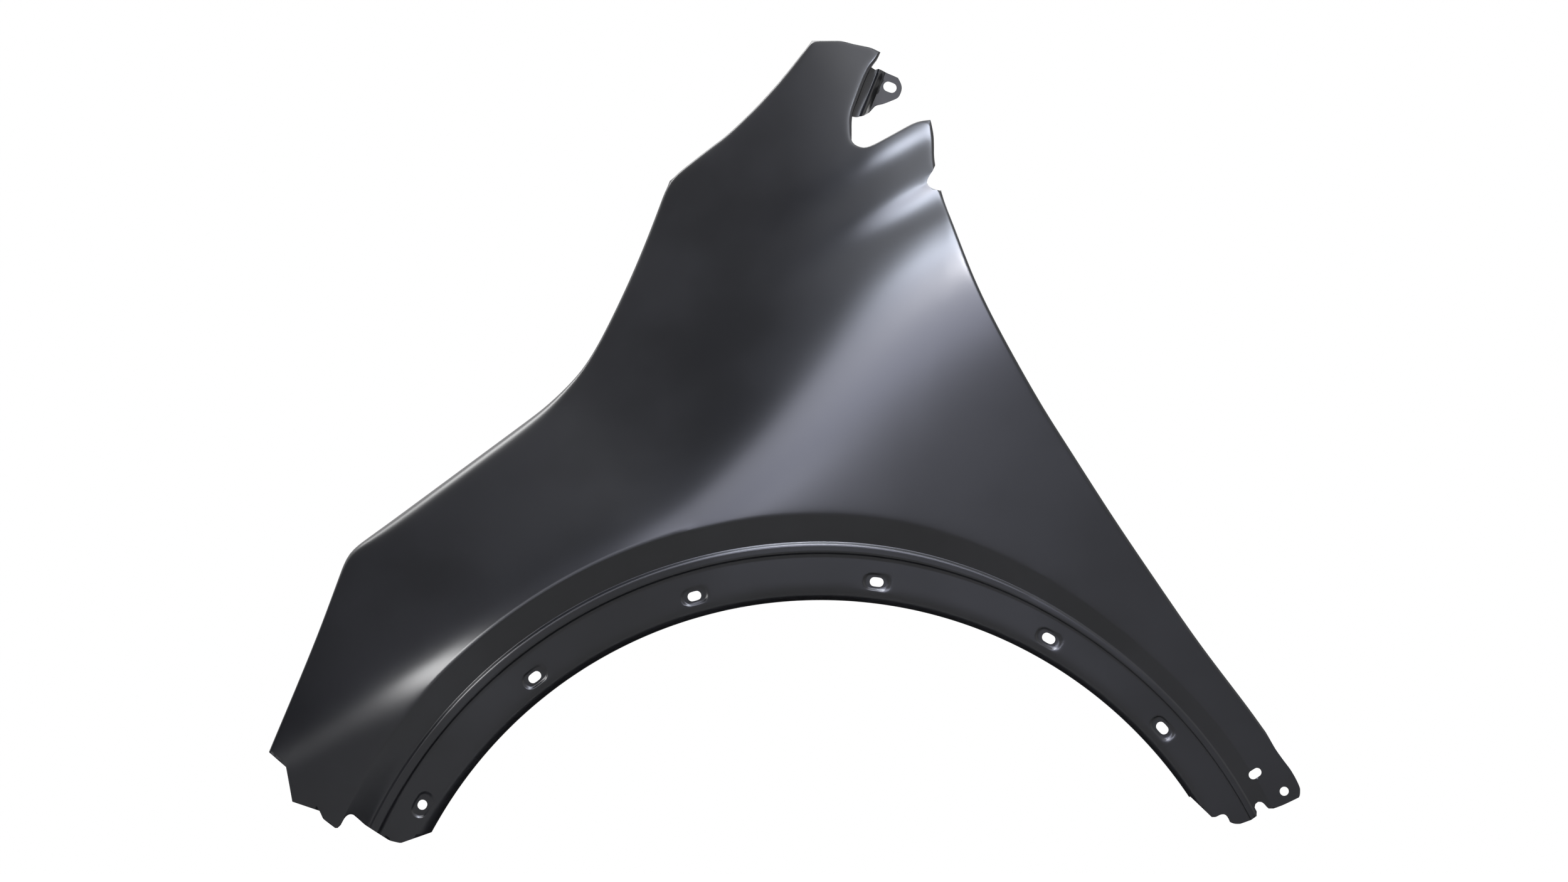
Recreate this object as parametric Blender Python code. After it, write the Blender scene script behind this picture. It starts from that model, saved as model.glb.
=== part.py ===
"""Front fender of a compact crossover, pressed from one sheet of steel.

The panel hangs turned by CAR_TILT about the axis that runs across the car:
+X is towards the door, +Z is up and +Y is inboard, so the painted face looks
towards -Y. Places on the face are polar: an angle in degrees about the centre
of the wheel arch, and a share of BODY_HEIGHT outwards from the edge of the arch.
The sheet is built as one skin of quads, then thickened, trimmed and pierced.
The origin is on the seat of the bolt ear beside the windscreen pillar.
"""
import math

import bmesh
import bpy
from mathutils import Matrix, Vector

# Sheet and overall sizes
SHEET = 0.0008
ARCH_RADIUS = 0.400
BODY_HEIGHT = 0.507
CAR_TILT = math.radians(30)
SHARP_ANGLE = math.radians(40)

# Painted face
SIDE_LEAN_SHARE = 0.05
SHOULDER_LEAN_SHARE = 0.85
SHOULDER_FRONT_UP_SHARE = 0.148
SHOULDER_REAR_UP_SHARE = 0.318
SHOULDER_FRONT_SPREAD = 0.014
SHOULDER_REAR_SPREAD = 0.040
SHOULDER_FROM_SHARE = 0.18
SHOULDER_TO_SHARE = 0.93
NOSE_SWEEP = 0.060
NOSE_SWEEP_POWER = 2.5
REAR_REACH_SHARE = 0.69
FRONT_REACH_SHARE = -0.60
RIDGE_STEP = 0.007
RIDGE_SPREAD = 0.009
RIDGE_UP_SHARES = (0.434, 0.525)
VALLEY_STEP = 0.003
VALLEY_UP_SHARE = 0.379
RIDGE_FROM_SHARE = 0.55
RIDGE_TO_SHARE = 0.92

# Arch: rolled lip, clip band, bead and the step of the flare
LIP_BEND = 0.010
LIP_DEPTH = 0.024
LIP_TURNS = 3
CLIP_BAND = 0.029
FLARE_FRONT = 0.078
FLARE_REAR = 0.060
RECESS_FRONT = 0.010
RECESS_REAR = 0.005
FLARE_FRONT_ANGLE = 88.0
FLARE_REAR_ANGLE = 45.0
FLARE_SECTION_SHARES = (
    (0.0, 1.0), (0.255, 1.0), (0.296, 0.77), (0.44, 0.77), (0.49, 0.98),
    (0.53, 0.94), (0.755, 0.48), (0.97, 0.06), (1.0, 0.0))

# Clip holes of the arch trim, each in a shallow flat pad
CLIP_ANGLES = (149.2, 128.05, 105.8, 83.1, 60.65, 42.75)
CLIP_LENGTH = 0.0127
CLIP_WIDTH = 0.0086
END_CLIP_LENGTH = 0.0095
PAD_LENGTH = 0.0255
PAD_WIDTH = 0.0165
PAD_DEPTH = 0.0014
PAD_FLOOR_SHARE = 0.78
PAD_POINTS = 16

# Folded edges: roll radius, wall and flange
NOSE_ROLL = 0.026
NOSE_WALL = 0.010
NOSE_FLANGE = 0.012
BUMPER_ROLL = 0.004
BUMPER_WALL = 0.008
BUMPER_FLANGE = 0.010
LAMP_ROLL = 0.005
LAMP_WALL = 0.012
LAMP_FLANGE = 0.015
HOOD_ROLL = 0.004
HOOD_WALL = 0.016
HOOD_FLANGE = 0.024
TAIL_ROLL = 0.003
TAIL_WALL = 0.005
TAIL_FLANGE = 0.006
DOOR_ROLL = 0.003
DOOR_WALL = 0.007
DOOR_FLANGE = 0.010
ROLL_TURNS = 3
SLOPE_STEP = 0.010
MITRE_LIMIT_SHARE = 0.6
EASE_PASSES = 2

# Stepped bolt ear on the pillar side of the tail
EAR_STEP = 0.0045
EAR_RIB = 0.0015
EAR_DEPTH = 0.016
EAR_REACH = 0.0335
EAR_FIRST = 2
EAR_LAST = 6
EAR_STEP_SHARES = ((0.19, -0.02, 0.94, 0.3), (0.245, -0.02, 0.92, -1.0), (0.30, -0.02, 0.90, 0.5))
EAR_PLATE_SHARES = ((0.40, -0.01, 0.81), (0.50, -0.005, 0.63), (0.64, -0.005, 0.58), (0.78, 0.0, 0.49),
                    (0.90, 0.07, 0.41), (0.97, 0.13, 0.36), (1.0, 0.20, 0.31))
EAR_SEAT_SHARES = (0.62, 0.45)
EAR_HOLE_SHARES = (0.67, 0.22)
EAR_HOLE_LENGTH = 0.0125
EAR_HOLE_WIDTH = 0.0092

# Rows of quads, steps of a curve and the share of SHEET within which vertices are joined
BODY_ROWS = 10
UPPER_ROWS = 10
TAIL_ROWS = 8
ROOT_COLUMNS = 7
CURVE_STEPS = 8
JOIN_SHARE = 0.02
RAMP_LIMIT_SHARE = 30

# Outline, clockwise from the bumper: (angle, share of BODY_HEIGHT)
FRONT_ANGLE = 157.4
REAR_ANGLE = 25.0
BUMPER_SHARES = ((FRONT_ANGLE, 0.318), (152.29, 0.324), (146.20, 0.341), (140.36, 0.372), (134.07, 0.427))
NOSE_SHARES = ((134.07, 0.427), (113.61, 0.447))
LAMP_SHARES = ((113.61, 0.447), (110.13, 0.477), (107.77, 0.518), (104.23, 0.611), (101.72, 0.700),
               (100.02, 0.775))
HOOD_SHARES = ((100.02, 0.775), (97.42, 0.816), (95.97, 0.839), (93.91, 0.887))
TAIL_LEFT_SHARES = ((93.91, 0.887), (92.16, 0.939), (90.50, 1.001))
TAIL_TOP_SHARES = ((90.50, 1.001), (88.60, 1.001), (88.20, 0.996), (87.00, 0.990), (86.66, 0.988),
                   (86.52, 0.983))
TAIL_RIGHT_SHARES = ((86.52, 0.983), (86.70, 0.967), (87.02, 0.955), (87.28, 0.937), (87.55, 0.913),
                     (87.82, 0.889), (88.08, 0.865), (88.04, 0.842), (88.02, 0.818))
STRIP_TOP_SHARES = ((88.02, 0.818), (87.74, 0.807), (87.10, 0.807), (83.95, 0.866), (83.41, 0.871),
                    (83.20, 0.869))
STRIP_END_SHARES = ((83.20, 0.869), (82.85, 0.839), (82.59, 0.791), (81.82, 0.738), (81.04, 0.700))
DOOR_SHARES = ((81.04, 0.700), (77.73, 0.571), (71.88, 0.432), (66.81, 0.352), (60.92, 0.283),
               (54.14, 0.229), (46.57, 0.192), (38.33, 0.179), (35.11, 0.178), (REAR_ANGLE, 0.197))

# Columns of quads along the arch: (angle at the arch, columns up to the next one)
COLUMN_ANGLES = (
    (FRONT_ANGLE, 3), (151.4, 2), (147.0, 6), (134.07, 2), (130.25, 2), (125.85, 6), (113.61, 3), (108.0, 2),
    (103.6, 11), (85.3, 2), (80.9, 9), (62.85, 2), (58.45, 7), (44.95, 2), (40.55, 3), (35.11, 5),
    (REAR_ANGLE, 0))
BUMPER_END, NOSE_END, DOOR_START = 134.07, 113.61, 80.9

# Trimmed feet, and the relief cut above the door edge
FRONT_FOOT_SHARES = (
    (150.4, 0.345), (152.29, 0.324), (152.78, 0.284), (155.53, 0.247), (155.34, 0.215), (155.22, 0.196),
    (155.83, 0.184), (156.19, 0.158), (156.08, 0.154), (155.67, 0.151), (154.60, 0.150), (154.15, 0.145),
    (154.00, 0.138), (154.50, 0.113), (154.95, 0.061), (154.68, 0.041), (151.66, 0.0), (150.2, -0.05),
    (160.0, -0.05), (161.0, 0.20), (160.0, 0.42), (152.0, 0.42))
REAR_FOOT_SHARES = (
    (36.2, 0.205), (35.11, 0.178), (33.83, 0.176), (32.80, 0.175), (31.14, 0.177), (30.36, 0.179),
    (29.15, 0.179), (28.13, 0.178), (27.46, 0.172), (27.27, 0.168), (27.30, 0.138), (27.46, 0.119),
    (27.72, 0.111), (28.03, 0.109), (28.45, 0.108), (28.80, 0.105), (28.96, 0.100), (28.88, 0.094),
    (28.56, 0.090), (28.06, 0.090), (27.59, 0.086), (27.48, 0.074), (27.67, 0.053), (28.05, 0.043),
    (28.48, 0.039), (29.10, 0.040), (29.57, 0.038), (29.85, 0.032), (29.84, 0.022), (30.11, 0.015),
    (33.76, 0.002), (34.5, -0.05), (22.5, -0.05), (20.0, 0.10), (22.5, 0.30), (35.0, 0.30))
RELIEF_SHARES = (
    (82.56, 0.789), (82.68, 0.778), (82.95, 0.764), (82.96, 0.755), (82.76, 0.749), (82.45, 0.746),
    (82.00, 0.745), (81.60, 0.780), (82.0, 0.810))

# Holes of the door foot: (angle, share), slot angle
SLOT_PLACE_SHARES = (31.9, 0.121)
SLOT_LENGTH = 0.0123
SLOT_WIDTH = 0.0082
SLOT_TURN = math.radians(33)
FOOT_HOLE_SHARES = (28.6, 0.150)
FOOT_HOLE = 0.0083

# Bolt holes in the hood flange, as shares of the hood edge
HOOD_HOLE_SHARES = (0.2, 0.75)
HOOD_HOLE = 0.009


def polar(angle, share):
    """Point of the panel's plan (x, z) at an angle and a share of BODY_HEIGHT."""
    radius = ARCH_RADIUS + share * BODY_HEIGHT
    turn = math.radians(angle)
    return Vector((radius * math.cos(turn), radius * math.sin(turn)))


def smooth_step(value):
    """Eases from 0 to 1 as value goes from 0 to 1."""
    value = min(max(value, 0.0), 1.0)
    return value * value * (3 - 2 * value)


def mix(first, second, share):
    """Goes from first to second in proportion."""
    return first + (second - first) * share


def car_axes(point):
    """Turns a plan point to the car's own axes: rearwards and upwards."""
    rear = point.x * math.cos(CAR_TILT) + point.y * math.sin(CAR_TILT)
    up = point.y * math.cos(CAR_TILT) - point.x * math.sin(CAR_TILT)
    return rear, up


def soft_ramp(value):
    """Zero below 0 and a straight ramp above it, blended round 0."""
    return value if value > RAMP_LIMIT_SHARE else math.log1p(math.exp(value))


def body_depth(point):
    """Depth inboard of the painted body, without the arch's recess."""
    rear, up = car_axes(point)
    rear_share = rear / BODY_HEIGHT
    along = (rear_share - SHOULDER_FROM_SHARE) / (SHOULDER_TO_SHARE - SHOULDER_FROM_SHARE)
    shoulder_share = smooth_step(along)
    shoulder_up_share = mix(SHOULDER_FRONT_UP_SHARE, SHOULDER_REAR_UP_SHARE, shoulder_share)
    shoulder_up = ARCH_RADIUS + BODY_HEIGHT * shoulder_up_share
    spread = mix(SHOULDER_FRONT_SPREAD, SHOULDER_REAR_SPREAD, shoulder_share)
    depth = SIDE_LEAN_SHARE * up
    depth += (SHOULDER_LEAN_SHARE - SIDE_LEAN_SHARE) * spread * soft_ramp((up - shoulder_up) / spread)
    forward = max(REAR_REACH_SHARE - rear_share, 0.0) / (REAR_REACH_SHARE - FRONT_REACH_SHARE)
    depth += NOSE_SWEEP * forward ** NOSE_SWEEP_POWER
    fade = smooth_step((rear_share - RIDGE_FROM_SHARE) / (RIDGE_TO_SHARE - RIDGE_FROM_SHARE))
    steps = [(VALLEY_UP_SHARE, VALLEY_STEP)] + [(share, -RIDGE_STEP) for share in RIDGE_UP_SHARES]
    for share, step in steps:
        above = (up - ARCH_RADIUS - share * BODY_HEIGHT) / RIDGE_SPREAD
        depth += step * fade * (1 + math.tanh(above)) / 2
    return depth


def flare_share(angle):
    """1 where the flare is full, 0 where it has died away towards the door."""
    return smooth_step((angle - FLARE_REAR_ANGLE) / (FLARE_FRONT_ANGLE - FLARE_REAR_ANGLE))


def arch_point(angle, offset):
    """Plan point at an angle, offset outwards from the edge of the arch."""
    return polar(angle, offset / BODY_HEIGHT)


def crease_depth(angle):
    """Depth of the flare's crease at an angle."""
    width = mix(FLARE_REAR, FLARE_FRONT, flare_share(angle))
    return body_depth(arch_point(angle, width))


def band_depth(angle):
    """Depth of the clip band at an angle."""
    return crease_depth(angle) + mix(RECESS_REAR, RECESS_FRONT, flare_share(angle))


def arch_section(angle):
    """Section through the arch at an angle: (offset outwards, depth), lip first."""
    width = mix(FLARE_REAR, FLARE_FRONT, flare_share(angle))
    recess = mix(RECESS_REAR, RECESS_FRONT, flare_share(angle))
    band = band_depth(angle)
    section = [(0.0, band + LIP_DEPTH)]
    for turn in range(LIP_TURNS, 0, -1):
        bend = math.pi / 2 * turn / LIP_TURNS
        section.append((LIP_BEND * (1 - math.sin(bend)), band + LIP_BEND * (1 - math.cos(bend))))
    section.append((LIP_BEND, band))
    section.append(((LIP_BEND + CLIP_BAND) / 2, band))
    for across, down in FLARE_SECTION_SHARES:
        section.append((mix(CLIP_BAND, width, across), mix(crease_depth(angle), band, down)))
    return section


def resample(points, count):
    """Splits a chain of plan points into count steps of equal length."""
    lengths = [0.0]
    for start, end in zip(points, points[1:]):
        lengths.append(lengths[-1] + (end - start).length)
    result = []
    piece = 0
    for step in range(count + 1):
        target = lengths[-1] * step / count
        while piece < len(points) - 2 and lengths[piece + 1] < target:
            piece += 1
        share = (target - lengths[piece]) / (lengths[piece + 1] - lengths[piece])
        result.append(points[piece].lerp(points[piece + 1], min(max(share, 0.0), 1.0)))
    return result


def curve(shares, count):
    """Smooth curve through an outline's points, split into count equal steps."""
    points = [polar(*share) for share in shares]
    if len(points) == 2:
        return resample(points, count)
    padded = [2 * points[0] - points[1], *points, 2 * points[-1] - points[-2]]
    fine = []
    for before, start, end, after in zip(padded, padded[1:], padded[2:], padded[3:]):
        for step in range(CURVE_STEPS):
            t = step / CURVE_STEPS
            fine.append((start * 2 + (end - before) * t + (before * 2 - start * 5 + end * 4 - after) * t ** 2
                         + (start * 3 - before - end * 3 + after) * t ** 3) / 2)
    fine.append(points[-1])
    return resample(fine, count)


def column_angles():
    """Angle at the arch of every column of quads."""
    angles = []
    for (start, count), (end, _) in zip(COLUMN_ANGLES, COLUMN_ANGLES[1:]):
        angles.extend(mix(start, end, step / count) for step in range(count))
    return angles + [COLUMN_ANGLES[-1][0]]


class EdgeForm:
    """Section of a folded edge: roll, wall and flange with their directions."""

    def __init__(self, roll, wall, wall_angle, flange, flange_angle):
        self.values = (roll, wall, wall_angle, flange, flange_angle)

    def blend(self, other, share):
        """Form between this edge and another."""
        return EdgeForm(*(mix(a, b, share) for a, b in zip(self.values, other.values)))

    def inset(self, slope):
        """Distance from the outline at which the roll starts, on a sloping face."""
        return self.values[0] * (1 - math.sin(slope))

    def section(self, slope):
        """Points of the section as (outwards, inboard) from the start of the roll."""
        roll, wall, wall_angle, flange, flange_angle = self.values
        points = []
        for turn in range(1, ROLL_TURNS + 1):
            angle = mix(slope, wall_angle, turn / ROLL_TURNS)
            points.append(Vector((roll * (math.sin(angle) - math.sin(slope)),
                                  roll * (math.cos(slope) - math.cos(angle)))))
        points.append(points[-1] + wall * Vector((math.cos(wall_angle), math.sin(wall_angle))))
        points.append(points[-1] + flange * Vector((math.cos(flange_angle), math.sin(flange_angle))))
        return points


BUMPER_EDGE = EdgeForm(BUMPER_ROLL, BUMPER_WALL, math.radians(95), BUMPER_FLANGE, math.radians(92))
NOSE_EDGE = EdgeForm(NOSE_ROLL, NOSE_WALL, math.radians(110), NOSE_FLANGE, math.radians(90))
LAMP_EDGE = EdgeForm(LAMP_ROLL, LAMP_WALL, math.radians(125), LAMP_FLANGE, math.radians(90))
HOOD_EDGE = EdgeForm(HOOD_ROLL, HOOD_WALL, math.radians(155), HOOD_FLANGE, math.radians(90))
TAIL_EDGE = EdgeForm(TAIL_ROLL, TAIL_WALL, math.radians(95), TAIL_FLANGE, math.radians(90))
EAR_EDGE = EdgeForm(TAIL_ROLL, TAIL_WALL, math.radians(90), EAR_STEP, math.radians(15))
DOOR_EDGE = EdgeForm(DOOR_ROLL, DOOR_WALL, math.radians(95), DOOR_FLANGE, math.radians(90))


class Outline:
    """The folded outline, clockwise from the bumper foot to the door foot."""

    def __init__(self, angles):
        bumper = angles.index(BUMPER_END)
        nose = angles.index(NOSE_END) - bumper
        door = angles.index(DOOR_START)
        upper = door - angles.index(NOSE_END)
        hood = (upper - ROOT_COLUMNS) // 2
        strip = upper - ROOT_COLUMNS - hood
        ear = [polar(*share) for share in TAIL_RIGHT_SHARES]
        runs = (
            ("bumper", curve(BUMPER_SHARES, bumper), BUMPER_EDGE),
            ("nose", curve(NOSE_SHARES, nose), NOSE_EDGE),
            ("lamp", curve(LAMP_SHARES, UPPER_ROWS), LAMP_EDGE),
            ("hood", curve(HOOD_SHARES, hood), HOOD_EDGE),
            ("tail_left", curve(TAIL_LEFT_SHARES, TAIL_ROWS), HOOD_EDGE),
            ("tail_top", resample([polar(*share) for share in TAIL_TOP_SHARES], ROOT_COLUMNS), TAIL_EDGE),
            ("tail_right", ear, TAIL_EDGE),
            ("strip_top", resample([polar(*share) for share in STRIP_TOP_SHARES], strip), TAIL_EDGE),
            ("strip_end", curve(STRIP_END_SHARES, UPPER_ROWS), DOOR_EDGE),
            ("door", curve(DOOR_SHARES, len(angles) - 1 - door), DOOR_EDGE))
        self.points = []
        self.forms = []
        self.runs = {}
        for name, points, form in runs:
            start = max(len(self.points) - 1, 0)
            self.points.extend(points if not self.points else points[1:])
            self.forms.extend([form] * (len(self.points) - len(self.forms)))
            self.runs[name] = (start, len(self.points) - 1)
        self.ease_forms()
        first = self.runs["tail_right"][0]
        for place in range(first + EAR_FIRST, first + EAR_LAST + 1):
            self.forms[place] = EAR_EDGE
        self.normals = [self.outward(place) for place in range(len(self.points))]
        self.slopes = [self.slope(place) for place in range(len(self.points))]
        self.inner = [point - normal * form.inset(slope) for point, normal, form, slope
                      in zip(self.points, self.normals, self.forms, self.slopes)]

    def ease_forms(self):
        """Blends each edge's form into its neighbours' over a few columns."""
        for _ in range(EASE_PASSES):
            forms = list(self.forms)
            for place in range(1, len(forms) - 1):
                between = forms[place - 1].blend(forms[place + 1], 1 / 2)
                self.forms[place] = forms[place].blend(between, 1 / 2)

    def outward(self, place):
        """Outward direction in plan, mitred at a corner."""
        last = len(self.points) - 1
        here = self.points[place]
        before = (here - self.points[place - 1]).normalized() if place > 0 else None
        after = (self.points[place + 1] - here).normalized() if place < last else None
        along = (before or after) + (after or before)
        across = Vector((-along.y, along.x)).normalized()
        side = before or after
        return across / max(across.dot(Vector((-side.y, side.x))), MITRE_LIMIT_SHARE)

    def slope(self, place):
        """Angle at which the face falls inboard on its way out over the edge."""
        step = self.normals[place].normalized() * SLOPE_STEP
        here = self.points[place] - step
        return math.atan((body_depth(here + step) - body_depth(here)) / step.length)

    def run(self, name):
        """Inset points of one run of the outline."""
        start, end = self.runs[name]
        return self.inner[start:end + 1]

    def fold(self, place, depth):
        """Folded section at a place as points in space."""
        corner = self.inner[place]
        result = []
        for out, inboard in self.forms[place].section(self.slopes[place]):
            plan = corner + self.normals[place] * out
            result.append(Vector((plan.x, depth + inboard, plan.y)))
        return result


def coons(bottom, top, left, right):
    """Plan points of a patch between four chains, row by row from the bottom."""
    rows = []
    last_row, last_column = len(left) - 1, len(bottom) - 1
    for i in range(last_row + 1):
        v = i / last_row
        row = []
        for j in range(last_column + 1):
            u = j / last_column
            between = bottom[j] * (1 - v) + top[j] * v + left[i] * (1 - u) + right[i] * u
            corners = (bottom[0] * (1 - u) + bottom[-1] * u) * (1 - v) + (top[0] * (1 - u) + top[-1] * u) * v
            row.append(between - corners)
        rows.append(row)
    return rows


class Skin:
    """The painted face of the sheet, collected as quads in a bmesh."""

    def __init__(self):
        self.mesh = bmesh.new()
        self.at = {}

    def vert(self, place):
        """Vertex at a place in space, made once."""
        key = tuple(round(value / (SHEET * JOIN_SHARE)) for value in place)
        if key not in self.at:
            self.at[key] = self.mesh.verts.new(place)
        return self.at[key]

    def face_vert(self, plan):
        """Vertex on the painted body at a plan point."""
        return self.vert(Vector((plan.x, body_depth(plan), plan.y)))

    def quads(self, rows, skip=()):
        """Faces between neighbouring rows of vertices, apart from those in skip."""
        for i, (lower, upper) in enumerate(zip(rows, rows[1:])):
            for j in range(len(lower) - 1):
                if (i, j) not in skip:
                    self.mesh.faces.new((lower[j], lower[j + 1], upper[j + 1], upper[j]))

    def ring(self, outer, inner):
        """Faces between two closed loops with as many vertices."""
        count = len(outer)
        for k in range(count):
            after = (k + 1) % count
            self.mesh.faces.new((outer[k], outer[after], inner[after], inner[k]))

    def stitch(self, outer, inner, bearing):
        """Triangles between two closed loops whose vertices are sorted by bearing."""

        def halfway(loop, place):
            """Bearing halfway along the edge that starts at a place in a loop."""
            if place == len(loop):
                return math.inf
            after = bearing(loop[place + 1]) if place + 1 < len(loop) else bearing(loop[0]) + math.tau
            return (bearing(loop[place]) + after) / 2

        outside, inside = 0, 0
        while outside < len(outer) or inside < len(inner):
            here, there = outer[outside % len(outer)], inner[inside % len(inner)]
            if halfway(outer, outside) <= halfway(inner, inside):
                outside += 1
                corners = (here, outer[outside % len(outer)], there)
            else:
                inside += 1
                corners = (here, inner[inside % len(inner)], there)
            self.mesh.faces.new(corners)


def stadium(length, width, turn=0.0):
    """Plan outline of a round-ended slot, anticlockwise about its centre."""
    points = []
    for k in range(PAD_POINTS):
        angle = math.tau * (k + 0.5) / PAD_POINTS
        straight = math.copysign(max(length - width, 0.0) / 2, math.cos(angle))
        point = Vector((straight + width / 2 * math.cos(angle), width / 2 * math.sin(angle)))
        point.rotate(Matrix.Rotation(turn, 2))
        points.append(point)
    return points


def build_arch(skin, angles):
    """Lip, clip band, bead and step; leaves a gap of two by two quads at each clip."""
    columns = []
    for angle in angles:
        column = []
        for offset, depth in arch_section(angle):
            plan = arch_point(angle, offset)
            column.append(skin.vert(Vector((plan.x, depth, plan.y))))
        columns.append(column)
    rows = [list(row) for row in zip(*columns)]
    first_row = LIP_TURNS + 1
    skip = set()
    for clip in CLIP_ANGLES:
        middle = min(range(len(angles)), key=lambda j: abs(angles[j] - clip))
        skip.update((first_row + i, middle - 1 + j) for i in range(2) for j in range(2))
        build_pad(skin, clip, rows, first_row, middle)
    skin.quads(rows, skip)
    return rows[-1]


def build_pad(skin, clip, rows, first_row, middle):
    """Shallow flat pad with its pierced hole, in the gap left in the clip band."""
    low, mid, high = rows[first_row:first_row + 3]
    before, here, after = middle - 1, middle, middle + 1
    border = [mid[after], high[after], high[here], high[before],
              mid[before], low[before], low[here], low[after]]
    centre = arch_point(clip, (LIP_BEND + CLIP_BAND) / 2)
    along = Vector((math.sin(math.radians(clip)), -math.cos(math.radians(clip))))
    outward = Vector((-along.y, along.x))
    step = PAD_LENGTH / 2

    def band(plan):
        """Depth of the clip band at a plan point."""
        return band_depth(math.degrees(math.atan2(plan.y, plan.x)))

    lean = (band(centre + along * step) - band(centre - along * step)) / (2 * step)

    def loop(length, width, sink):
        """Closed loop of vertices, on the band or sunk on to the pad's plane."""
        verts = []
        for point in stadium(length, width):
            plan = centre + along * point.x + outward * point.y
            depth = band(centre) + lean * point.x + sink if sink else band(plan)
            verts.append(skin.vert(Vector((plan.x, depth, plan.y))))
        return verts

    def bearing(vert):
        """Direction of a vertex as seen from the pad's centre, over one turn."""
        offset = Vector((vert.co.x, vert.co.z)) - centre
        turn = math.atan2(offset.dot(outward), offset.dot(along))
        return turn if turn > -math.pi / PAD_POINTS / 2 else turn + math.tau

    hole = END_CLIP_LENGTH if clip == CLIP_ANGLES[0] else CLIP_LENGTH
    rim = loop(PAD_LENGTH, PAD_WIDTH, 0.0)
    shrink = PAD_WIDTH * (1 - PAD_FLOOR_SHARE)
    floor = loop(PAD_LENGTH - shrink, PAD_WIDTH - shrink, PAD_DEPTH)
    skin.stitch(border, rim, bearing)
    skin.ring(rim, floor)
    skin.ring(floor, loop(hole, CLIP_WIDTH, PAD_DEPTH))


def build_body(skin, outline, angles, crease):
    """Body between the flare's crease and the folded outline, with the tail."""
    left_end, right_start = angles.index(NOSE_END), angles.index(DOOR_START)
    bumper, nose, door = outline.run("bumper"), outline.run("nose"), outline.run("door")
    upper_line = resample([nose[-1], door[0]], right_start - left_end)
    outer = bumper + nose[1:] + upper_line[1:-1] + door
    rows = [crease]
    for row in range(1, BODY_ROWS + 1):
        verts = []
        for start, end in zip(crease, outer):
            plan = Vector((start.co.x, start.co.z)).lerp(end, row / BODY_ROWS)
            verts.append(skin.face_vert(plan))
        rows.append(verts)
    skin.quads(rows)

    hood, tail_left, tail_right, strip = (outline.run(name) for name in (
        "hood", "tail_left", "tail_right", "strip_top"))
    root = resample([hood[-1], strip[0]], ROOT_COLUMNS)
    upper = coons(upper_line, hood + root[1:-1] + strip, outline.run("lamp"), outline.run("strip_end")[::-1])
    tail = coons(root, outline.run("tail_top"), tail_left, tail_right[::-1])
    for patch in (upper, tail):
        skin.quads([[skin.face_vert(plan) for plan in row] for row in patch])


def build_folds(skin, outline):
    """Rolls, walls and flanges all along the outline."""
    rows = [[] for _ in range(ROLL_TURNS + 3)]
    for place, plan in enumerate(outline.inner):
        start = skin.face_vert(plan)
        rows[0].append(start)
        for row, point in zip(rows[1:], outline.fold(place, start.co.y)):
            row.append(skin.vert(point))
    first = outline.runs["tail_right"][0]
    flange_row = len(rows) - 2
    skip = {(flange_row, first + EAR_FIRST - 1), (flange_row, first + EAR_LAST)}
    skin.quads(rows, skip)
    return rows[-1]


def ear_point(outline, reach, along):
    """Plan point of the ear, as shares of its reach outwards and of its root downwards."""
    first = outline.runs["tail_right"][0]
    top, bottom = outline.points[first + EAR_FIRST], outline.points[first + EAR_LAST]
    down = bottom - top
    across = Vector((-down.y, down.x)).normalized()
    return top + down * along + across * (reach * EAR_REACH)


def ear_depth(outline):
    """Depth of the ear's plate, below the deepest point of its root."""
    first = outline.runs["tail_right"][0]
    return body_depth(outline.points[first + EAR_FIRST]) + EAR_DEPTH


def build_ear(skin, outline, flange):
    """Stepped ear from the flange of the tail out to its flat bolt plate."""
    first = outline.runs["tail_right"][0]
    root = flange[first + EAR_FIRST:first + EAR_LAST + 1]
    plate = ear_depth(outline)
    rows = [root]
    for reach, start, end, *rib in EAR_STEP_SHARES + EAR_PLATE_SHARES:
        verts = []
        for column, base in enumerate(root):
            plan = ear_point(outline, reach, mix(start, end, column / (len(root) - 1)))
            depth = base.co.y + EAR_RIB * rib[0] if rib else plate
            verts.append(skin.vert(Vector((plan.x, depth, plan.y))))
        rows.append(verts)
    skin.quads(rows)


def prism(name, outline, near, far):
    """Cutter along Y from a plan outline."""
    mesh = bmesh.new()
    base = mesh.faces.new([mesh.verts.new((point.x, near, point.y)) for point in outline])
    lifted = bmesh.ops.extrude_face_region(mesh, geom=[base])["geom"]
    moved = [item for item in lifted if isinstance(item, bmesh.types.BMVert)]
    bmesh.ops.translate(mesh, verts=moved, vec=(0, far - near, 0))
    bmesh.ops.recalc_face_normals(mesh, faces=mesh.faces)
    data = bpy.data.meshes.new(name)
    mesh.to_mesh(data)
    mesh.free()
    return data


def drill(name, centre, axis, diameter, length):
    """Round cutter about an axis through a point in space."""
    mesh = bmesh.new()
    turned = axis.to_track_quat("Z", "Y").to_matrix().to_4x4()
    bmesh.ops.create_cone(mesh, cap_ends=True, segments=PAD_POINTS, radius1=diameter / 2,
                          radius2=diameter / 2, depth=length, matrix=Matrix.Translation(centre) @ turned)
    data = bpy.data.meshes.new(name)
    mesh.to_mesh(data)
    mesh.free()
    return data


def hood_holes(outline):
    """Centres and axes of the bolt holes along the flange under the hood's edge."""
    start, end = outline.runs["hood"][0], outline.runs["tail_left"][1]
    holes = []
    for share in HOOD_HOLE_SHARES:
        place = start + round(share * (end - start))
        fold = outline.fold(place, body_depth(outline.inner[place]))
        following = outline.fold(place + 1, body_depth(outline.inner[place + 1]))
        centre = (fold[-1] + fold[-2] + following[-1] + following[-2]) / 4
        normal = outline.normals[place].normalized()
        holes.append((centre, Vector((normal.x, 0, normal.y))))
    return holes


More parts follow.
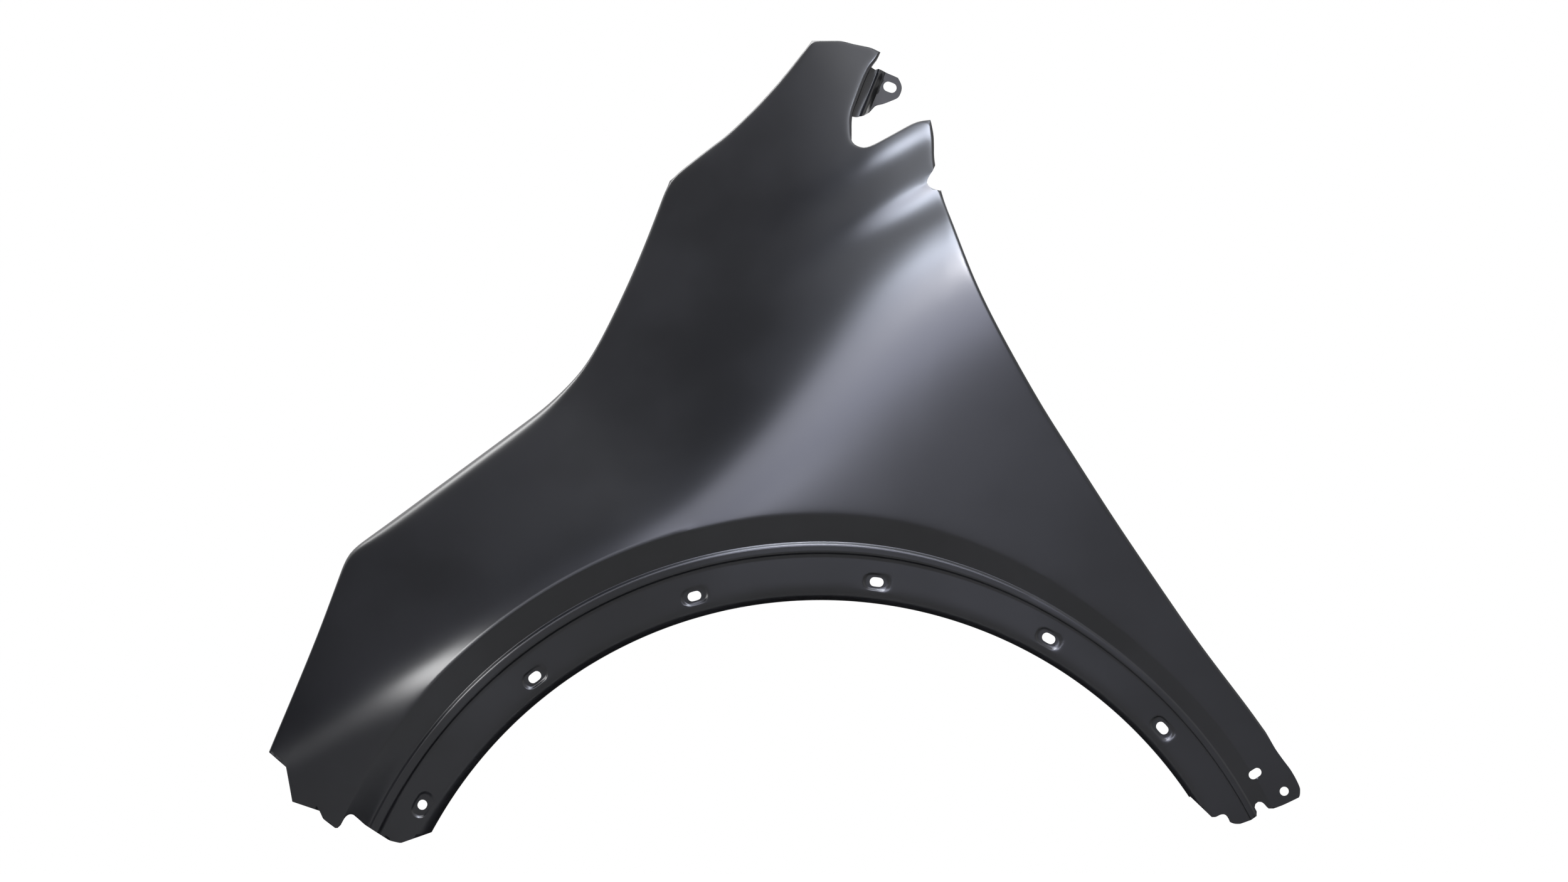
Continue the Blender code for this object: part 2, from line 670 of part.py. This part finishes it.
def cutters(outline):
    """Meshes that trim the feet and pierce the holes, none touching another."""
    near, far = -BODY_HEIGHT, BODY_HEIGHT
    ear = ear_point(outline, *EAR_HOLE_SHARES)
    across = ear - ear_point(outline, 0.0, EAR_HOLE_SHARES[1])
    turn = math.atan2(across.y, across.x)
    slot, hole = polar(*SLOT_PLACE_SHARES), polar(*FOOT_HOLE_SHARES)
    ear_slot = stadium(EAR_HOLE_LENGTH, EAR_HOLE_WIDTH, turn)
    foot_slot = stadium(SLOT_LENGTH, SLOT_WIDTH, SLOT_TURN)
    meshes = [
        prism("front_trim", [polar(*share) for share in FRONT_FOOT_SHARES], near, far),
        prism("rear_trim", [polar(*share) for share in REAR_FOOT_SHARES], near, far),
        prism("relief", [polar(*share) for share in RELIEF_SHARES], near, far),
        prism("ear_slot", [ear + point for point in ear_slot], near, far),
        prism("foot_slot", [slot + point for point in foot_slot], near, far),
        prism("foot_hole", [hole + point for point in stadium(FOOT_HOLE, FOOT_HOLE)], near, far)]
    for number, (centre, axis) in enumerate(hood_holes(outline)):
        meshes.append(drill("hood_hole_%d" % number, centre, axis, HOOD_HOLE, HOOD_WALL))
    return meshes


def coat():
    """Satin black primer that the whole sheet is dipped in."""
    material = bpy.data.materials.new("black_primer")
    material.use_nodes = True
    shader = material.node_tree.nodes["Principled BSDF"]
    shader.inputs["Base Color"].default_value = (0.012, 0.012, 0.014, 1)
    shader.inputs["Roughness"].default_value = 0.35
    shader.inputs["Metallic"].default_value = 0.0
    return material


def add_object(name, data):
    """Object of the scene for a mesh."""
    item = bpy.data.objects.new(name, data)
    bpy.context.scene.collection.objects.link(item)
    return item


def main():
    """Builds the fender as one object."""
    for item in list(bpy.data.objects):
        bpy.data.objects.remove(item)
    angles = column_angles()
    outline = Outline(angles)
    skin = Skin()
    crease = build_arch(skin, angles)
    build_body(skin, outline, angles, crease)
    flange = build_folds(skin, outline)
    build_ear(skin, outline, flange)
    seat = ear_point(outline, *EAR_SEAT_SHARES)
    origin = Vector((seat.x, ear_depth(outline) + SHEET, seat.y))

    loose = [vert for vert in skin.mesh.verts if not vert.link_faces]
    bmesh.ops.delete(skin.mesh, geom=loose, context="VERTS")
    data = bpy.data.meshes.new("fender_panel")
    skin.mesh.to_mesh(data)
    skin.mesh.free()
    data.materials.append(coat())
    data.shade_smooth()
    panel = add_object("fender_panel", data)
    panel.location = -origin
    thicken = panel.modifiers.new("sheet", "SOLIDIFY")
    thicken.thickness = SHEET
    thicken.offset = -1
    for cut in cutters(outline):
        cutter = add_object(cut.name, cut)
        cutter.location = -origin
        cutter.hide_render = True
        cutter.display_type = "WIRE"
        pierce = panel.modifiers.new(cut.name, "BOOLEAN")
        pierce.operation = "DIFFERENCE"
        pierce.solver = "EXACT"
        pierce.object = cutter
    data.set_sharp_from_angle(angle=SHARP_ANGLE)


main()
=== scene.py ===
"""Looks of a car fender in satin black primer, in a white studio.

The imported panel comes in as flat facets. It is welded into one smooth pressing,
painted, and lit so that the lamps' reflections run along its shoulder.
"""

import logging
import math
from dataclasses import dataclass, field

import bmesh
import bpy
from mathutils import Matrix, Vector


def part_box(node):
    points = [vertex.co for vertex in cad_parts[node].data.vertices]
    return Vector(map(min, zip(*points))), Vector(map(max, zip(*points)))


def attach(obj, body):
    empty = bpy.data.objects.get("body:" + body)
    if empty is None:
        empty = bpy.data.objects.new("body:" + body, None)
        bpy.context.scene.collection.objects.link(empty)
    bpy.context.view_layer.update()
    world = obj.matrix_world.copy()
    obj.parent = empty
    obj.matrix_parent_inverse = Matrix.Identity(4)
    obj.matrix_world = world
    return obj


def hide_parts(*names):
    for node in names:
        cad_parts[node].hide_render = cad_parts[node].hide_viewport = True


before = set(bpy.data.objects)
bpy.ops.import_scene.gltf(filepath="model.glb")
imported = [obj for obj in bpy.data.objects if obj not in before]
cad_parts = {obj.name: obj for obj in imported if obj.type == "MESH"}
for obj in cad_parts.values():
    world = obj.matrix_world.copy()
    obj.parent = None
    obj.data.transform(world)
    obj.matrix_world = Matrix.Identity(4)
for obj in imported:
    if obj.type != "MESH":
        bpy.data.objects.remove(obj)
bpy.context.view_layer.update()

log = logging.getLogger("car_fender")

# The photograph's frame, and where the panel lies in it, in pixels
PHOTO_WIDTH_PX = 2500
PHOTO_HEIGHT_PX = 1406
PANEL_LEFT_PX = 429.4
PANEL_RIGHT_PX = 2069.5
PANEL_TOP_PX = 63.0
ARCH_X_PX = 1310.0
ARCH_Y_PX = 1661.0

# The car's own directions: the panel stands turned about the axis across the car
CAR_TILT = math.radians(30)
OUTWARD = Vector((0.0, -1.0, 0.0))
CAR_UP = Vector((-math.sin(CAR_TILT), 0.0, math.cos(CAR_TILT)))
CAR_REAR = Vector((math.cos(CAR_TILT), 0.0, math.sin(CAR_TILT)))

# The colour sockets of a Mix node share their names with others, so they go by number
MIX_FACTOR = 0
MIX_FIRST = 6
MIX_SECOND = 7
MIX_RESULT = 2

WHITE = (1.0, 1.0, 1.0, 1.0)


class Wire:
    """A value that flows between shader nodes, with the sums that nodes can do."""

    def __init__(self, bench: "NodeBench", socket: bpy.types.NodeSocket) -> None:
        """Wraps a node's output.

        Args:
            bench: The bench whose node tree the output belongs to.
            socket: The output.
        """
        self.bench = bench
        self.socket = socket

    def sum_with(self, operation: str, *others: "Wire | float") -> "Wire":
        """Adds a Math node that starts with this value.

        Args:
            operation: The Math node's operation.
            others: The values that follow this one.

        Returns:
            The node's result.
        """
        values = dict(enumerate((self, *others)))
        return self.bench.node("ShaderNodeMath", {"operation": operation}, values)

    def __add__(self, other: "Wire | float") -> "Wire":
        """Sum of two values."""
        return self.sum_with("ADD", other)

    def __radd__(self, other: float) -> "Wire":
        """Sum of a number and this value."""
        return self.sum_with("ADD", other)

    def __sub__(self, other: "Wire | float") -> "Wire":
        """Difference of two values."""
        return self.sum_with("SUBTRACT", other)

    def __rsub__(self, other: float) -> "Wire":
        """A number less this value."""
        return self.sum_with("MULTIPLY", -1.0).sum_with("ADD", other)

    def __mul__(self, other: "Wire | float") -> "Wire":
        """Product of two values."""
        return self.sum_with("MULTIPLY", other)

    def __rmul__(self, other: float) -> "Wire":
        """Product of a number and this value."""
        return self.sum_with("MULTIPLY", other)

    def above(self, start: float, end: float) -> "Wire":
        """Eased mask of this value.

        Args:
            start: Where the mask is 0.
            end: Where the mask is 1.

        Returns:
            The mask.
        """
        settings = {"interpolation_type": "SMOOTHSTEP"}
        values = {"Value": self, "From Min": start, "From Max": end}
        return self.bench.node("ShaderNodeMapRange", settings, values)


class NodeBench:
    """Builds the nodes of one material or world."""

    def __init__(self, tree: bpy.types.NodeTree) -> None:
        """Clears a node tree to build in.

        Args:
            tree: The tree.
        """
        self.tree = tree
        tree.nodes.clear()

    def node(self, kind: str, settings: dict[str, object] | None = None,
             values: dict[str | int, object] | None = None, output: str | int = 0) -> Wire:
        """Adds a node.

        Args:
            kind: The node's type.
            settings: Its properties, which are set first.
            values: Numbers, colours or wires for its inputs, by name or number.
            output: The output to return, by name or number.

        Returns:
            That output.
        """
        made = self.tree.nodes.new(kind)
        for name, value in (settings or {}).items():
            setattr(made, name, value)
        for name, value in (values or {}).items():
            if isinstance(value, Wire):
                self.tree.links.new(value.socket, made.inputs[name])
            else:
                made.inputs[name].default_value = value
        return Wire(self, made.outputs[output] if len(made.outputs) else None)

    def noise(self, place: Wire, scale: float, detail: float) -> Wire:
        """Adds a noise texture.

        Args:
            place: The coordinates.
            scale: Waves a metre.
            detail: Octaves.

        Returns:
            The noise, about 0.5.
        """
        values = {"Vector": place, "Scale": scale, "Detail": detail}
        return self.node("ShaderNodeTexNoise", {}, values, "Fac")

    def seen(self) -> Wire:
        """Tells the rays that show the white ground from those that light the panel.

        Returns:
            1 for a ray from the camera, off a gloss or through glass, otherwise 0.
        """
        names = ("Is Camera Ray", "Is Glossy Ray", "Is Transmission Ray")
        camera, glossy, through = (self.node("ShaderNodeLightPath", output=name) for name in names)
        return (camera + glossy + through).sum_with("MINIMUM", 1.0)

    def mixed(self, mask: Wire, first: tuple[float, ...], second: tuple[float, ...]) -> Wire:
        """Blends two colours.

        Args:
            mask: 0 for the first colour and 1 for the second.
            first: The first colour.
            second: The second colour.

        Returns:
            The blend.
        """
        values = {MIX_FACTOR: mask, MIX_FIRST: first, MIX_SECOND: second}
        return self.node("ShaderNodeMix", {"data_type": "RGBA"}, values, MIX_RESULT)


def blank_material(name: str) -> tuple[bpy.types.Material, NodeBench]:
    """Makes a material with no nodes.

    Args:
        name: The material's name.

    Returns:
        The material and a bench to build its nodes on.
    """
    made = bpy.data.materials.new(name)
    made.use_nodes = True
    return made, NodeBench(made.node_tree)


def add_plane(name: str, size: float, place: Vector) -> bpy.types.Object:
    """Adds a flat square.

    Args:
        name: The square's name.
        size: The length of its sides.
        place: Its middle.

    Returns:
        The square.
    """
    bpy.ops.object.select_all(action="DESELECT")
    bpy.ops.mesh.primitive_plane_add(size=size, location=place)
    plane = bpy.context.active_object
    plane.name = name
    return plane


@dataclass(frozen=True)
class SatinPrimer:
    """Electrocoat primer: near-black, satin, with a faint orange peel."""

    name: str = "satin_black_primer"
    dark: tuple[float, ...] = (0.0032, 0.0032, 0.0037, 1.0)
    light: tuple[float, ...] = (0.0048, 0.0048, 0.0055, 1.0)
    roughness: float = 0.29
    roughness_spread: float = 0.05
    cloud_scale: float = 9.0
    cloud_detail: float = 4.0
    cloud_start: float = 0.35
    cloud_end: float = 0.65
    peel_scale: float = 320.0
    peel_detail: float = 2.0
    peel_height: float = 0.000003

    def material(self) -> bpy.types.Material:
        """Builds the finish.

        Returns:
            The material.
        """
        made, bench = blank_material(self.name)
        place = bench.node("ShaderNodeTexCoord", output="Object")
        cloud = bench.noise(place, self.cloud_scale, self.cloud_detail)
        coat = bench.mixed(cloud.above(self.cloud_start, self.cloud_end), self.dark, self.light)
        roughness = (cloud - 0.5) * self.roughness_spread + self.roughness
        peel = bench.noise(place, self.peel_scale, self.peel_detail)
        bump = bench.node("ShaderNodeBump", {},
                          {"Height": peel, "Distance": self.peel_height, "Strength": 1.0})
        shader = bench.node("ShaderNodeBsdfPrincipled", {},
                            {"Base Color": coat, "Roughness": roughness, "Normal": bump, "Metallic": 0.0})
        bench.node("ShaderNodeOutputMaterial", {}, {"Surface": shader})
        return made


@dataclass
class PressedPanel:
    """The fender's skin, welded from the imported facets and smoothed."""

    node: str = "fender_panel"
    weld: float = 0.000004
    quad_angle: float = math.radians(25)
    fold_angle: float = math.radians(38)
    corner_turn: float = math.radians(36)
    levels: int = 2

    def weld_facets(self, piece: bpy.types.Object) -> None:
        """Merges the loose facets and joins them in pairs.

        Args:
            piece: The panel.
        """
        bpy.ops.object.select_all(action="DESELECT")
        piece.select_set(True)
        bpy.context.view_layer.objects.active = piece
        bpy.ops.object.mode_set(mode="EDIT")
        bpy.ops.mesh.select_all(action="SELECT")
        bpy.ops.mesh.remove_doubles(threshold=self.weld)
        bpy.ops.mesh.tris_convert_to_quads(face_threshold=self.quad_angle, shape_threshold=math.pi)
        bpy.ops.mesh.select_all(action="DESELECT")
        bpy.ops.object.mode_set(mode="OBJECT")

    def crease_edges(self, piece: bpy.types.Object) -> None:
        """Keeps cut edges and corners sharp when the panel is smoothed.

        Args:
            piece: The panel.
        """
        mesh = bmesh.new()
        mesh.from_mesh(piece.data)
        edge_crease = mesh.edges.layers.float.new("crease_edge")
        corner_crease = mesh.verts.layers.float.new("crease_vert")
        for edge in mesh.edges:
            if len(edge.link_faces) != 2 or edge.calc_face_angle() > self.fold_angle:
                edge[edge_crease] = 1.0
        for vert in mesh.verts:
            sharp = [edge for edge in vert.link_edges if edge[edge_crease]]
            if len(sharp) == 2:
                before, after = ((edge.other_vert(vert).co - vert.co) for edge in sharp)
                if before.angle(-after) > self.corner_turn:
                    vert[corner_crease] = 1.0
        mesh.to_mesh(piece.data)
        mesh.free()

    def build(self, finish: bpy.types.Material) -> bpy.types.Object:
        """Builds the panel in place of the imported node.

        Args:
            finish: The primer.

        Returns:
            The panel.
        """
        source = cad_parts[self.node]
        piece = bpy.data.objects.new("pressed_panel", source.data.copy())
        bpy.context.scene.collection.objects.link(piece)
        self.weld_facets(piece)
        self.crease_edges(piece)
        smooth = piece.modifiers.new("smooth", "SUBSURF")
        smooth.levels = smooth.render_levels = self.levels
        smooth.use_limit_surface = False
        bpy.ops.object.modifier_apply(modifier=smooth.name)
        bpy.ops.object.shade_smooth_by_angle(angle=self.fold_angle)
        piece.data.materials.clear()
        piece.data.materials.append(finish)
        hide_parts(self.node)
        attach(piece, "root")
        return piece


@dataclass
class Hanging:
    """A rectangle hung in the studio and turned to face a point of the panel.

    It hangs so far to the car's rear, up and out from the middle of the wheel
    arch, and the point it faces is given in the same way. Its length runs
    along the car. All are in metres.
    """

    name: str
    rear: float
    up: float
    out: float
    target_rear: float
    target_up: float
    length: float
    width: float

    def placing(self, arch: Vector, target_out: float = 0.0) -> Matrix:
        """Works out how the rectangle hangs.

        Args:
            arch: The middle of the wheel arch.
            target_out: How far out the point it faces is.

        Returns:
            Its place and turn.
        """
        place = arch + CAR_REAR * self.rear + CAR_UP * self.up + OUTWARD * self.out
        target = arch + CAR_REAR * self.target_rear + CAR_UP * self.target_up + OUTWARD * target_out
        towards = (place - target).normalized()
        along = (CAR_REAR - towards * CAR_REAR.dot(towards)).normalized()
        across = towards.cross(along)
        return Matrix.Translation(place) @ Matrix((along, across, towards)).transposed().to_4x4()


@dataclass
class StudioLamp(Hanging):
    """A rectangular lamp that the camera doesn't see."""

    strength: float
    colour: tuple[float, float, float]

    def build(self, arch: Vector) -> bpy.types.Object:
        """Hangs the lamp.

        Args:
            arch: The middle of the wheel arch.

        Returns:
            The lamp.
        """
        data = bpy.data.lights.new(self.name, "AREA")
        data.shape = "RECTANGLE"
        data.size = self.length
        data.size_y = self.width
        data.energy = self.strength * math.pi * self.length * self.width
        data.color = self.colour
        lamp = bpy.data.objects.new(self.name, data)
        bpy.context.scene.collection.objects.link(lamp)
        lamp.visible_camera = False
        lamp.matrix_world = self.placing(arch)
        return lamp


@dataclass
class StudioFlag(Hanging):
    """A grey card that only the panel's gloss sees."""

    grey: float
    target_out: float = 0.0

    def build(self, arch: Vector) -> bpy.types.Object:
        """Hangs the card.

        Args:
            arch: The middle of the wheel arch.

        Returns:
            The card.
        """
        card = add_plane(self.name, 1.0, Vector())
        stretch = Matrix.Diagonal((self.length, self.width, 1.0, 1.0))
        card.matrix_world = self.placing(arch, self.target_out) @ stretch
        made, bench = blank_material(self.name)
        glow = bench.node("ShaderNodeEmission", {}, {"Strength": self.grey})
        bench.node("ShaderNodeOutputMaterial", {}, {"Surface": glow})
        card.data.materials.append(made)
        card.visible_camera = card.visible_diffuse = card.visible_shadow = False
        return card


@dataclass
class Studio:
    """White room, lamps, cards, floor and camera."""

    camera_distance: float = 30.0
    camera_reach: float = 90.0
    sensor: float = 36.0
    floor_gap: float = 0.12
    floor_size: float = 14.0
    floor_paint: float = 0.85
    floor_glow: float = 0.6
    room_light: float = 0.5
    lamps: list[StudioLamp] = field(default_factory=lambda: [
        StudioLamp("shoulder_lamp", 0.65, 2.24, 2.49, 0.65, 0.50, 1.60, 2.10, 8.2, (0.76, 0.79, 1.0)),
        StudioLamp("door_lamp", 0.64, 1.50, 1.04, 0.50, 0.56, 0.22, 0.12, 130.0, (0.97, 0.97, 1.0)),
        StudioLamp("strip_lamp", 0.58, 1.39, 0.54, 0.45, 0.65, 0.50, 0.18, 34.0, (0.78, 0.85, 1.0)),
        StudioLamp("nose_lamp", -0.190, 0.620, 0.15, -0.140, 0.477, 0.09, 0.10, 22.0, (1.0, 1.0, 1.0)),
        StudioLamp("arch_lamp", 0.17, 0.72, 1.17, 0.22, 0.45, 0.16, 0.14, 22.0, (0.80, 0.83, 1.0)),
        StudioLamp("ear_lamp", 0.482, 0.708, 0.16, 0.482, 0.708, 0.05, 0.05, 8.0, (0.96, 0.96, 1.0)),
        StudioLamp("rim_lamp", 0.20, 2.00, -0.90, 0.0, 0.60, 1.00, 0.50, 10.0, (1.0, 1.0, 1.0)),
        StudioLamp("inner_door_lamp", 1.50, 1.10, -1.70, 0.1, 0.4, 1.60, 1.20, 3.4, (0.92, 0.95, 1.0)),
        StudioLamp("inner_nose_lamp", -1.60, 0.50, -1.50, 0.0, 0.4, 1.20, 1.20, 2.6, (0.92, 0.95, 1.0)),
        StudioLamp("roof_lamp", 1.70, 3.00, 0.60, 0.4, 0.70, 2.40, 2.40, 2.4, (0.86, 0.90, 1.0)),
        StudioLamp("ramp_lamp", 0.34, 1.70, 0.15, 0.28, 0.62, 0.50, 0.40, 1.1, (0.86, 0.90, 1.0)),
    ])
    flags: list[StudioFlag] = field(default_factory=lambda: [
        StudioFlag("camera_side_flag", 0.3, 0.3, 6.5, 0.3, 0.4, 9.0, 7.0, 0.35),
        StudioFlag("front_flag", -2.6, 0.3, 3.6, -0.2, 0.4, 3.0, 4.0, 0.04),
        StudioFlag("roof_flag", -1.2, 3.0, 0.6, -0.1, 0.5, 2.9, 3.0, 0.02),
        StudioFlag("floor_flag", 0.04, 0.07, 3.45, 0.29, 0.503, 9.0, 6.6, 0.52, 3.45),
        StudioFlag("lip_flag", 0.04, 0.07, -1.42, 0.29, 0.503, 1.9, 3.1, 0.02, -1.42),
        StudioFlag("nose_back_flag", -2.2, 1.0, -2.4, -0.4, 0.4, 2.6, 2.6, 0.06),
        StudioFlag("door_back_flag", 2.5, 0.2, -2.6, 0.4, 0.4, 2.6, 2.6, 0.06),
        StudioFlag("front_low_flag", -2.4, -0.6, 1.4, -0.2, 0.3, 3.0, 2.6, 0.04),
    ])

    def photo_scale(self) -> float:
        """Works out how much of the panel one pixel of the photograph shows.

        Returns:
            Metres a pixel.
        """
        low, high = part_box("fender_panel")
        return (high.x - low.x) / (PANEL_RIGHT_PX - PANEL_LEFT_PX)

    def photo_point(self, across_px: float, down_px: float, depth: float) -> Vector:
        """Finds a pixel of the photograph in the part's frame.

        Args:
            across_px: Pixels from the photograph's left edge.
            down_px: Pixels from its top edge.
            depth: The point's place along the view, which the photograph doesn't give.

        Returns:
            The point.
        """
        low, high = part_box("fender_panel")
        across = low.x + (across_px - PANEL_LEFT_PX) * self.photo_scale()
        height = high.z - (down_px - PANEL_TOP_PX) * self.photo_scale()
        return Vector((across, depth, height))

    def add_camera(self) -> None:
        """Sets the camera square to the panel, as far off as the photograph looks."""
        low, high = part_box("fender_panel")
        centre = self.photo_point(PHOTO_WIDTH_PX / 2, PHOTO_HEIGHT_PX / 2, (low.y + high.y) / 2)
        data = bpy.data.cameras.new("camera")
        data.sensor_width = self.sensor
        data.lens = self.sensor * self.camera_distance / (PHOTO_WIDTH_PX * self.photo_scale())
        data.clip_end = self.camera_reach
        camera = bpy.data.objects.new("camera", data)
        bpy.context.scene.collection.objects.link(camera)
        camera.location = centre + OUTWARD * self.camera_distance
        camera.rotation_euler = (math.pi / 2, 0.0, 0.0)
        bpy.context.scene.camera = camera

    def add_floor(self) -> None:
        """Lays a pale floor under the panel."""
        low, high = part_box("fender_panel")
        middle = (low + high) / 2
        place = Vector((middle.x, middle.y, low.z - self.floor_gap))
        floor = add_plane("studio_floor", self.floor_size, place)
        made, bench = blank_material("pale_floor")
        colour = (self.floor_paint, self.floor_paint, self.floor_paint, 1.0)
        paint = bench.node("ShaderNodeBsdfDiffuse", {}, {"Color": colour})
        glow = bench.node("ShaderNodeEmission", {}, {"Strength": bench.seen() * self.floor_glow})
        both = bench.node("ShaderNodeAddShader", {}, {0: paint, 1: glow})
        bench.node("ShaderNodeOutputMaterial", {}, {"Surface": both})
        floor.data.materials.append(made)

    def add_room(self) -> None:
        """Lights the room: white to the camera, softer to the panel."""
        world = bpy.data.worlds.new("white_room")
        bpy.context.scene.world = world
        world.use_nodes = True
        bench = NodeBench(world.node_tree)
        strength = bench.seen() * (1.0 - self.room_light) + self.room_light
        light = bench.node("ShaderNodeBackground", {}, {"Color": WHITE, "Strength": strength})
        bench.node("ShaderNodeOutputWorld", {}, {"Surface": light})

    def build(self) -> None:
        """Sets up the studio."""
        bpy.context.scene.view_settings.view_transform = "Standard"
        self.add_room()
        self.add_floor()
        self.add_camera()
        low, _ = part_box("fender_panel")
        arch = self.photo_point(ARCH_X_PX, ARCH_Y_PX, low.y)
        for hanging in (*self.lamps, *self.flags):
            hanging.build(arch)
            log.info("hung %s", hanging.name)


def main() -> None:
    """Builds the fender and its studio."""
    logging.basicConfig(level=logging.INFO, format="%(message)s")
    finish = SatinPrimer().material()
    panel = PressedPanel().build(finish)
    log.info("panel %s: %d faces", panel.name, len(panel.data.polygons))
    Studio().build()


if __name__ == "__main__":
    main()
